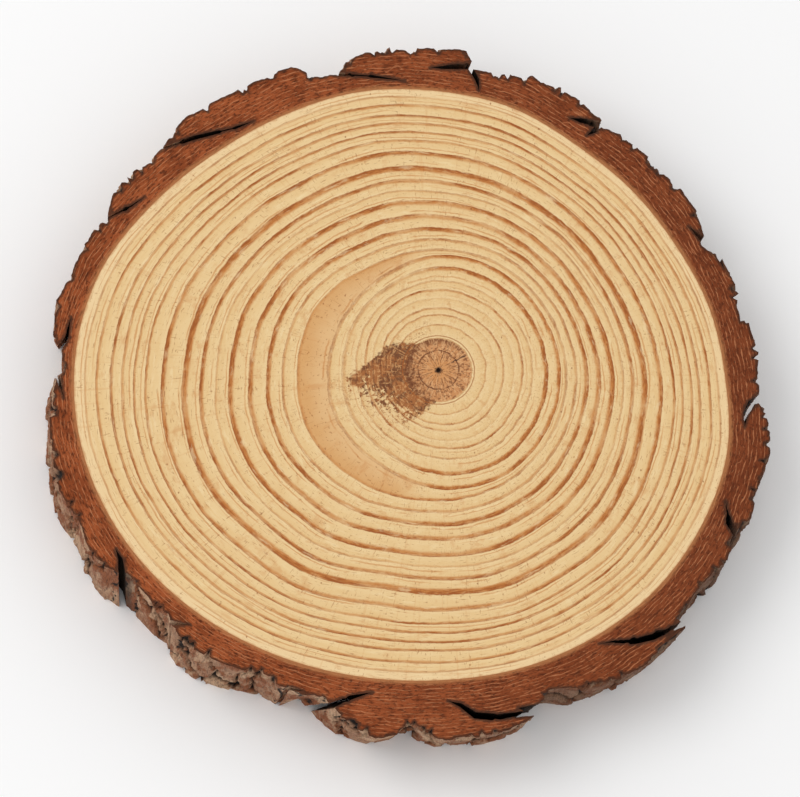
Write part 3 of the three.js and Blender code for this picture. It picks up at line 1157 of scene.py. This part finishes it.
# %% The noises and marks of the weathered bark
WEATHERED_NOISES = {
    "broad": {"stretch": (0.05, 0.05, 0.03), "detail": 2.0},
    "patches": {"stretch": (0.35, 0.35, 0.14), "detail": 5.0, "roughness": 0.65},
    "grit": {"stretch": (2.4, 2.4, 0.96), "detail": 5.0, "roughness": 0.75},
    "fibres": {"stretch": (1.6, 1.6, 0.22), "detail": 4.0, "roughness": 0.7},
}
WEATHERED_MARKS = {
    "red or grey": (0.42, 0.6, 1.0),
    "pale scales": (0.45, 0.75, 0.75),
    "painted shade on right": (-10, 110, 0.72),
    "fibres": (0.5, 0.36, 0.5),
    "grit": (0.5, 0.34, 0.5),
    "furrow": (0.2, 0.85, 1.0),
    "shelter": (3.4, 7.0, 0.94),
}
WEATHERED_SWINGS = {"red or grey": 0.8, "painted shade on right": 80, "shelter": 3.0}
PALE_BY_EACH = 0.5
WEATHERED_ROUGHNESS = 0.72
WEATHERED_ROUGHNESS_BY_GRIT = 0.2
WEATHERED_BUMP = {"Strength": 0.9, "Distance": 0.5 * MM}
WEATHERED_SHINE = 0.2
print(len(WEATHERED_NOISES), "noises,", len(WEATHERED_MARKS), "marks in the weathered bark")


# %% The finish of the weathered bark
def weathered_bark_finish():
    """Grey to red-brown plates with dark fibres and grit, and painted shade on the right and in furrows
    and cracks.
    """
    material, tree, shader, place = finish_material("weathered_bark")
    noises = {}
    for name, settings in WEATHERED_NOISES.items():
        settings = dict(settings)
        stretched = tree.stretch(place, *settings.pop("stretch"))
        noises[name] = tree.noise(stretched, 1.0, **settings)

    def mark(name, value):
        return tree.mark(WEATHERED_MARKS[name], value)

    def swing(name, noise):
        return tree.swing(noises[noise], WEATHERED_SWINGS[name])

    patches = noises["patches"]
    grit = noises["grit"]
    fibres = noises["fibres"]
    red_or_grey = mark("red or grey", patches + swing("red or grey", "broad"))
    colour = tree.blend(red_or_grey, WEATHERED_RED, WEATHERED)
    pale = (tree.attribute("scale_tone") + patches) * PALE_BY_EACH
    colour = tree.blend(mark("pale scales", pale), colour, WEATHERED_PALE)
    # Painted shade: the bark turns darker towards the right, the side away from the lamp.
    painted_shade_x = tree.parts(place)[0] + swing("painted shade on right", "broad")
    colour = tree.blend(mark("painted shade on right", painted_shade_x), colour, WEATHERED_PAINTED_SHADE)
    colour = tree.blend(mark("fibres", fibres), colour, DARK_FIBRE_AND_SHADE)
    colour = tree.blend(mark("grit", grit), colour, DARK_FIBRE_AND_SHADE)
    # Painted shade: near black deep in the furrows, by how deep the carving went.
    colour = tree.blend(mark("furrow", tree.attribute("furrow")), colour, DARK_FIBRE_AND_SHADE)
    # Painted shade: near black inside the cracks, by how far a point lies behind the bark beside it.
    painted_crack_shade = tree.attribute("sheltered") + swing("shelter", "patches")
    colour = tree.blend(mark("shelter", painted_crack_shade), colour, DARK_FIBRE_AND_SHADE)
    plug(tree, colour, shader, "Base Color")
    plug(tree, grit * WEATHERED_ROUGHNESS_BY_GRIT + WEATHERED_ROUGHNESS, shader, "Roughness")
    add_bump(tree, shader, WEATHERED_BUMP, grit + fibres)
    shader.inputs["Specular IOR Level"].default_value = WEATHERED_SHINE
    return material


weathered_bark = weathered_bark_finish()
print("weathered bark ready")

# %% [markdown]
# ## Carving the bark with Geometry Nodes
# The tree below has named inputs, so that its sizes can be changed like any modifier's.

# %% The carving tree
CARVING = {
    "Plate Width": 9.5,
    "Plate Height": 60.0,
    "Furrow Depth": 2.2,
    "Furrow Share": 0.08,
    "Plate Step": 1.3,
    "Scale Size": 5.2,
    "Scale Step": 0.55,
    "Grain Depth": 0.9,
    "Proud": 1.1,
}
SWAY_NOISE = {"Scale": 0.07, "Detail": 2.0}
SWAY_MIDDLE = (0.5, 0.5, 0.5)
PLATE_SWAY = (13.0, 13.0, 10.0)
SCALE_SWAY = (5.0, 5.0, 9.0)
SCALE_TALL = 3.0
BORDER_NOISE = {"scale": 0.8, "detail": 4.0, "roughness": 0.65}
BORDER_SWING = 0.12
BARK_GRAIN = (0.9, 0.9, 0.35)
BARK_GRAIN_NOISE = {"scale": 1.0, "detail": 4.0, "roughness": 0.6}


def carving_tree(sizes, finish):
    """Moves each point of the side along its way out, and stores how deep it lies."""
    group = bpy.data.node_groups.new("bark carving", "GeometryNodeTree")
    group.interface.new_socket("Geometry", in_out="INPUT", socket_type="NodeSocketGeometry")
    for name in sizes:
        group.interface.new_socket(name, in_out="INPUT", socket_type="NodeSocketFloat")
    group.interface.new_socket("Geometry", in_out="OUTPUT", socket_type="NodeSocketGeometry")
    tree = Tree(group)
    given = tree.node("NodeGroupInput")
    size = {name: tree.wire(given, name) for name in sizes}
    place = tree.vector("SCALE", tree.wire(tree.node("GeometryNodeInputPosition")), Scale=1 / MM)

    sway = tree.node("ShaderNodeTexNoise", {}, {"Vector": place, **SWAY_NOISE})
    sway = tree.vector("SUBTRACT", tree.wire(sway, "Color"), SWAY_MIDDLE)
    swayed = tree.vector("MULTIPLY_ADD", sway, PLATE_SWAY, place)
    cell_size = tree.joined(size["Plate Width"], size["Plate Width"], size["Plate Height"])
    upright = tree.vector("DIVIDE", swayed, cell_size)
    border = tree.cells(upright, "DISTANCE_TO_EDGE", Scale=1.0)
    plate = tree.parts(tree.cells(upright, "F1", result="Color", Scale=1.0))[0]
    ragged = tree.swing(tree.noise(place, **BORDER_NOISE), BORDER_SWING)
    furrow = tree.fade(border + ragged, size["Furrow Share"], 0.0)

    scale_place = tree.vector("MULTIPLY_ADD", sway, SCALE_SWAY, place)
    scale_height = size["Scale Size"] * SCALE_TALL
    scale_size = tree.joined(size["Scale Size"], size["Scale Size"], scale_height)
    scale_place = tree.vector("DIVIDE", scale_place, scale_size)
    scale = tree.parts(tree.cells(scale_place, "F1", result="Color", Scale=1.0))[1]
    grain = tree.noise(tree.stretch(place, *BARK_GRAIN), **BARK_GRAIN_NOISE)

    carved = furrow * size["Furrow Depth"] + plate * size["Plate Step"]
    carved = carved + scale * size["Scale Step"]
    carved = carved + grain * size["Grain Depth"]
    room_here = tree.named("room", "FLOAT")
    moved = tree.maths("MAXIMUM", size["Proud"] - carved, room_here * -1.0)
    moved = tree.maths("MINIMUM", moved, room_here)
    way = tree.named("outward", "FLOAT_VECTOR")
    offset = tree.vector("SCALE", way, Scale=moved * MM)

    kept = tree.wire(given, "Geometry")
    kept = tree.stored(kept, "furrow", furrow)
    kept = tree.stored(kept, "scale_tone", scale)
    set_position = tree.node("GeometryNodeSetPosition", {}, {"Geometry": kept, "Offset": offset})
    realize = tree.node("GeometryNodeRealizeInstances", {}, {"Geometry": tree.wire(set_position)})
    sockets = {"Geometry": tree.wire(realize), "Material": finish}
    finished = tree.node("GeometryNodeSetMaterial", {}, sockets)
    result = tree.node("NodeGroupOutput", {}, {"Geometry": tree.wire(finished)})
    result.is_active_output = True
    return group


# %% Carve the side
def carve(side, sizes, finish):
    """Runs the carving on the side and returns the carved mesh as plain data."""
    group = carving_tree(sizes, finish)
    modifier = side.modifiers.new("carving", "NODES")
    modifier.node_group = group
    for item in group.interface.items_tree:
        if item.in_out == "INPUT" and item.name in sizes:
            modifier[item.identifier] = sizes[item.name]
    evaluated = side.evaluated_get(bpy.context.evaluated_depsgraph_get())
    carved = bpy.data.meshes.new_from_object(evaluated)
    side.modifiers.remove(modifier)
    return carved


side = uncarved_side()
carved = carve(side, CARVING, weathered_bark)
bpy.data.objects.remove(side)
carved_places = np.zeros(len(carved.vertices) * 3, np.float32)
carved.vertices.foreach_get("co", carved_places)
carved_places = carved_places.reshape(-1, 3).astype(float) / MM


def carved_number(label):
    values = np.zeros(len(carved.vertices), np.float32)
    carved.attributes[label].data.foreach_get("value", values)
    return values


assert len(carved_places) == AROUND * SIDE_ROWS
print("carved", len(carved_places), "points")

# %% [markdown]
# ## The sawn faces of the bark
# Between the cambium and the ragged rim the saw left a flat band. It has no rule that a
# grid could follow, so it is filled with small triangles between the two loops. Each point
# keeps its distance to the wood and to the rim, which the finish uses.

# %% Points of a sawn band
BAND_STEP = 1.25
BAND_MARGIN = 0.75
BAND_LOOSE = 0.35
WELD_DISTANCE = 1e-7


def inside(points, loop):
    """Which points lie inside a closed loop."""
    found = np.zeros(len(points), bool)
    for a, b in zip(loop, np.roll(loop, -1, axis=0)):
        if a[1] == b[1]:
            continue
        crosses = (a[1] > points[:, 1]) != (b[1] > points[:, 1])
        x = a[0] + (points[:, 1] - a[1]) / (b[1] - a[1]) * (b[0] - a[0])
        found ^= crosses & (points[:, 0] < x)
    return found


def distances(points, loop):
    """How far each point is from the nearest point of a loop."""
    nearest = KDTree(len(loop))
    for i, (x, y) in enumerate(loop):
        nearest.insert((x, y, 0), i)
    nearest.balance()
    return np.array([nearest.find((x, y, 0))[2] for x, y in points])


def band_points(rim, z, seed):
    """Scattered points between the cambium and the rim."""
    chance = np.random.default_rng(seed)
    low_corner = rim.min(axis=0)
    high_corner = rim.max(axis=0)
    x, y = np.meshgrid(*(np.arange(low_corner[k], high_corner[k], BAND_STEP) for k in (0, 1)))
    x[::2] += BAND_STEP / 2
    loose = chance.uniform(-BAND_LOOSE, BAND_LOOSE, (x.size, 2))
    points = np.column_stack([x.ravel(), y.ravel()]) + loose
    way, radius = polar(points)
    points = points[radius > cambium_radius(way, z) + BAND_MARGIN]
    points = points[inside(points, rim)]
    return points[distances(points, rim) > BAND_MARGIN]


# %% Triangles of a sawn band
def band_triangles(rim, cambium, extra):
    """Triangles between the two loops, as numbers into rim, cambium and extra points in turn."""
    places = np.concatenate([rim, cambium, extra])
    loops = [np.arange(len(rim)), len(rim) + np.arange(len(cambium))]
    edges = [(int(a), int(b)) for loop in loops for a, b in zip(loop, np.roll(loop, -1))]
    corners = [Vector(place) for place in places]
    made = delaunay_2d_cdt(corners, edges, [], 0, WELD_DISTANCE, True)
    points = np.array([tuple(point) for point in made[0]])
    triangles = np.array(made[2])
    sources = made[3]
    middles = points[triangles].mean(axis=1)
    kept = triangles[inside(middles, rim) & ~inside(middles, cambium)]
    crossings = sum(1 for source in sources if not source)
    print("band of", len(kept), "triangles,", crossings, "crossings")
    return [[sources[corner][0] for corner in triangle] for triangle in kept]


# %% [markdown]
# Where the saw cut the bark it is red-brown. Fine paler lines of harder cork run along it
# like a second set of growth rings, joined by slanting ones. Next to the wood is a soft tan
# band, the living inner bark, and the outermost millimetre is dark where it has weathered.

# %% The finish of the sawn bark
CORK = tint(136, 67, 34)
CORK_DARK = tint(76, 34, 16)
CORK_RED = tint(160, 83, 45)
CORK_SHADED = tint(92, 44, 24)
CORK_LINE = tint(196, 128, 86)
INNER_BARK = tint(184, 124, 78)
RIM_DARK = tint(62, 41, 30)

# %% [markdown]
# The tables work as they do for the wood: noise stretched along the layers of cork, the
# values between which each mark eases in with its strength, and swings.

# %% The noises and marks of the sawn bark
CORK_GRAIN = {
    "broad": {"around": 9, "layers": 0.12, "detail": 3.0},
    "fibre": {"around": 55, "layers": 1.6, "detail": 5.0, "roughness": 0.7},
    "patches": {"around": 26, "layers": 0.55, "detail": 4.0, "roughness": 0.65},
    "slow wave": {"around": 3.5, "layers": 0.08, "detail": 2.0},
    "quick wave": {"around": 16, "layers": 0.3, "detail": 4.0},
    "line parts": {"around": 22, "layers": 1.0, "detail": 4.0, "roughness": 0.7},
    "slant": {"around": 10, "layers": 0.05},
    "slant parts": {"around": 40, "layers": 0.5, "detail": 2.0},
    "flecks": {"around": 130, "layers": 2.2, "detail": 3.0},
}
CORK_MARKS = {
    "red": (0.4, 0.6, 1.0),
    "dark fibre": (0.48, 0.62, 0.85),
    "dark patches": (0.54, 0.68, 0.6),
    "shaded side": (-90, 150, 0.6),
    "line": (0.24, 0.03, 1.0),
    "line parts": (0.43, 0.58, 1.0),
    "slant": (0.3, 0.08, 1.0),
    "slant parts": (0.52, 0.66, 0.5),
    "flecks": (0.62, 0.72, 0.8),
    "inner bark": (2.0, 0.3, 0.7),
    "rim": (1.3, 0.3, 0.8),
}
CORK_SWINGS = {
    "shaded side": 120,
    "slow wave": 4.0,
    "quick wave": 2.2,
    "inner bark by fibre": 1.6,
    "inner bark by broad": 1.5,
    "rim": 1.6,
}
CORK_BY_HEIGHT = 0.05
LAYER_STEP = 1.3
SLANT_STEP = 3.4
SLANT_WAVE = 0.4
SLANT_LEAN = 5.0
CORK_LINE_COVER = 0.74
RIM_NOISE = {"scale": 0.8, "detail": 4.0}
GRIT_NOISE = {"scale": 3.0, "detail": 4.0}
CORK_HEIGHTS = {"fibre": 0.5, "line": 0.5, "flecks": 1.0, "grit": 0.4}
CORK_ROUGHNESS = 0.68
CORK_ROUGHNESS_BY_FIBRE = 0.2
CORK_BUMP = {"Strength": 0.6, "Distance": 0.25 * MM}
CORK_SHINE = 0.1
print(len(CORK_GRAIN), "noises,", len(CORK_MARKS), "marks in the sawn bark")


# %% The wires that the marks in the bark share
class CorkGrain:
    """The wires that the marks in the sawn bark start from."""

    def __init__(self, tree, place):
        self.tree = tree
        self.from_wood = tree.attribute("from_wood")
        middle = (float(PITH[0]), float(PITH[1]), 0.0)
        self.x, y, self.z = tree.parts(tree.vector("SUBTRACT", place, middle))
        flat = tree.joined(self.x, y, 0.0)
        self.across, self.along, _ = tree.parts(tree.vector("NORMALIZE", flat))
        self.broad = self.cork("broad")
        self.fibre = self.cork("fibre")

    def cork(self, name):
        """Noise that is stretched along the layers of cork."""
        settings = dict(CORK_GRAIN[name])
        around = settings.pop("around")
        height = self.from_wood * settings.pop("layers") + self.z * CORK_BY_HEIGHT
        spot = self.tree.joined(self.across * around, self.along * around, height)
        return self.tree.noise(spot, 1.0, **settings)

    def mark(self, name, value):
        return self.tree.mark(CORK_MARKS[name], value)

    def swing(self, name, noise):
        return self.tree.swing(noise, CORK_SWINGS[name])

    def near_line(self, name, layers, step):
        """Thin lines, one for each layer of the given thickness."""
        off_line = self.tree.maths("ABSOLUTE", self.tree.off_middle(layers))
        return self.mark(name, off_line * step)


# %% [markdown]
# The pale lines lie one layer apart, and two waves bend them. The slanting ones use fewer,
# thicker layers that lean as they go round.

# %% Lines of harder cork
def cork_lines(grain):
    """The lines along the layers, and how strongly they show with the slanting ones."""
    tree = grain.tree
    wave = grain.swing("slow wave", grain.cork("slow wave"))
    wave = wave + grain.swing("quick wave", grain.cork("quick wave"))
    layers = (grain.from_wood + wave) / LAYER_STEP
    line = grain.near_line("line", layers, LAYER_STEP)
    line = line * grain.mark("line parts", grain.cork("line parts"))
    slanting = (grain.from_wood + wave * SLANT_WAVE) / SLANT_STEP
    slanting = slanting + grain.cork("slant") * SLANT_LEAN
    slant = grain.near_line("slant", slanting, SLANT_STEP)
    slant = slant * grain.mark("slant parts", grain.cork("slant parts"))
    return line, tree.maths("MAXIMUM", line, slant) * CORK_LINE_COVER


# %% The finish of the sawn bark
def sawn_bark_finish():
    """Red-brown cork, darker on the right, with its lines, flecks, inner bark and dark rim."""
    material, tree, shader, place = finish_material("sawn_bark")
    grain = CorkGrain(tree, place)
    colour = tree.blend(grain.mark("red", grain.broad), CORK, CORK_RED)
    colour = tree.blend(grain.mark("dark fibre", grain.fibre), colour, CORK_DARK)
    colour = tree.blend(grain.mark("dark patches", grain.cork("patches")), colour, CORK_DARK)
    shade = grain.mark("shaded side", grain.x + grain.swing("shaded side", grain.broad))
    colour = tree.blend(shade, colour, CORK_SHADED)
    line, lines_show = cork_lines(grain)
    colour = tree.blend(lines_show, colour, CORK_LINE)
    flecks = grain.mark("flecks", grain.cork("flecks"))
    colour = tree.blend(flecks, colour, RIM_DARK)
    inner = grain.from_wood + grain.swing("inner bark by fibre", grain.fibre)
    inner = inner + grain.swing("inner bark by broad", grain.broad)
    colour = tree.blend(grain.mark("inner bark", inner), colour, INNER_BARK)
    rim = tree.attribute("from_rim") + grain.swing("rim", tree.noise(place, **RIM_NOISE))
    colour = tree.blend(grain.mark("rim", rim), colour, RIM_DARK)
    plug(tree, colour, shader, "Base Color")

    plug(tree, grain.fibre * CORK_ROUGHNESS_BY_FIBRE + CORK_ROUGHNESS, shader, "Roughness")
    height = grain.fibre * CORK_HEIGHTS["fibre"] + line * CORK_HEIGHTS["line"]
    height = height - flecks * CORK_HEIGHTS["flecks"]
    height = height + tree.noise(place, **GRIT_NOISE) * CORK_HEIGHTS["grit"]
    add_bump(tree, shader, CORK_BUMP, height)
    shader.inputs["Specular IOR Level"].default_value = CORK_SHINE
    return material


sawn_bark = sawn_bark_finish()
print("sawn bark ready")

# %% [markdown]
# ## Putting the bark together
# The carved side, the two sawn bands and the inner wall along the cambium share their edge
# points, so the bark is one closed ring.

# %% The bark as a closed mesh
CREASE_ANGLE = math.radians(50)
BAND_SEED_UNDER = 11
BAND_SEED_UPPER = 12
RIM_START = (SIDE_ROWS - 1) * AROUND
BANDS = (
    (0.0, 0, BAND_SEED_UNDER, -1),
    (THICKNESS, RIM_START, BAND_SEED_UPPER, 1),
)


def bark_mesh():
    """The bark's ring. A band has a height, its first rim point, a seed and the way it faces."""
    places = [carved_places]
    faces = side_faces()
    total = len(carved_places)
    from_wood = [np.zeros(total)]
    from_rim = [np.zeros(total)]
    cambium_starts = {}
    finishes = [0] * len(faces)
    for z, first, seed, facing in BANDS:
        rim = carved_places[first:first + AROUND, :2]
        reach = cambium_radius(angles, z)
        cambium = PITH + np.column_stack([reach * np.cos(angles), reach * np.sin(angles)])
        extra = band_points(rim, z, seed)
        new_numbers = total + np.arange(COLUMNS + len(extra))
        numbers = np.concatenate([first + np.arange(AROUND), new_numbers])
        triangles = band_triangles(rim, cambium, extra)
        faces += [tuple(int(numbers[corner]) for corner in triangle[::facing])
                  for triangle in triangles]
        finishes += [1] * len(triangles)
        added = np.concatenate([cambium, extra])
        cambium_starts[z] = total
        places.append(np.column_stack([added, np.full(len(added), z)]))
        from_wood.append(bark_depth(added, z))
        from_wood[0][first:first + AROUND] = bark_depth(rim, z)
        from_rim.append(distances(added, rim))
        total += len(added)
    low, high = cambium_starts[0.0], cambium_starts[THICKNESS]
    for column in range(COLUMNS):
        beside = (column + 1) % COLUMNS
        faces.append((low + column, high + column, high + beside, low + beside))
        finishes.append(0)
    extra_count = total - len(carved_places)
    attributes = {
        "from_wood": np.concatenate(from_wood),
        "from_rim": np.concatenate(from_rim),
        "furrow": np.append(carved_number("furrow"), np.zeros(extra_count)),
        "scale_tone": np.append(carved_number("scale_tone"), np.zeros(extra_count)),
        "sheltered": np.append(np.tile(sheltered, SIDE_ROWS), np.zeros(extra_count)),
    }
    materials = [weathered_bark, sawn_bark]
    made = add_mesh("bark", np.concatenate(places), faces, materials, attributes)
    made.data.polygons.foreach_set("material_index", finishes)
    made.data.polygons.foreach_set("use_smooth", [True] * len(faces))
    made.data.set_sharp_from_angle(angle=CREASE_ANGLE)
    return made


bark = bark_mesh()
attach(bark, "root")
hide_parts("wood_slice")
print("bark:", len(bark.data.polygons), "faces")

# %% [markdown]
# ## Floor and light
# The slice lies on a plain pale floor under soft studio light: a bright even sky, and one
# large lamp high on the left that gives the bark its form.

# %% Floor
FLOOR_WIDTH = 6.0
FLOOR_COLOUR = (0.98, 0.98, 0.98, 1)
FLOOR_ROUGHNESS = 0.9


def pale_floor():
    corner = FLOOR_WIDTH / MM / 2
    places = [(-corner, -corner, 0), (corner, -corner, 0), (corner, corner, 0), (-corner, corner, 0)]
    material, _, shader, _ = finish_material("floor")
    shader.inputs["Base Color"].default_value = FLOOR_COLOUR
    shader.inputs["Roughness"].default_value = FLOOR_ROUGHNESS
    return add_mesh("floor", places, [(0, 1, 2, 3)], [material], {})


floor = pale_floor()
print("floor", FLOOR_WIDTH, "m wide")

# %% Light
SKY_COLOUR = (1, 1, 1, 1)
SKY_STRENGTH = 0.80
LAMP_PLACE = Vector((-1.5, 0.35, 2.2))
LAMP_WIDTH = 1.8
LAMP_WATTS = 18.0

world = bpy.data.worlds.new("sky")
world.use_nodes = True
background = world.node_tree.nodes["Background"]
background.inputs["Color"].default_value = SKY_COLOUR
background.inputs["Strength"].default_value = SKY_STRENGTH
bpy.context.scene.world = world
lamp_data = bpy.data.lights.new("lamp", "AREA")
lamp_data.shape = "DISK"
lamp_data.size = LAMP_WIDTH
lamp_data.energy = LAMP_WATTS
lamp = bpy.data.objects.new("lamp", lamp_data)
lamp_turn = LAMP_PLACE.to_track_quat("Z", "Y").to_matrix().to_4x4()
lamp.matrix_world = Matrix.Translation(LAMP_PLACE) @ lamp_turn
bpy.context.scene.collection.objects.link(lamp)
bpy.context.scene.view_settings.view_transform = "Standard"
print("lamp", round(LAMP_PLACE.length, 1), "m away")
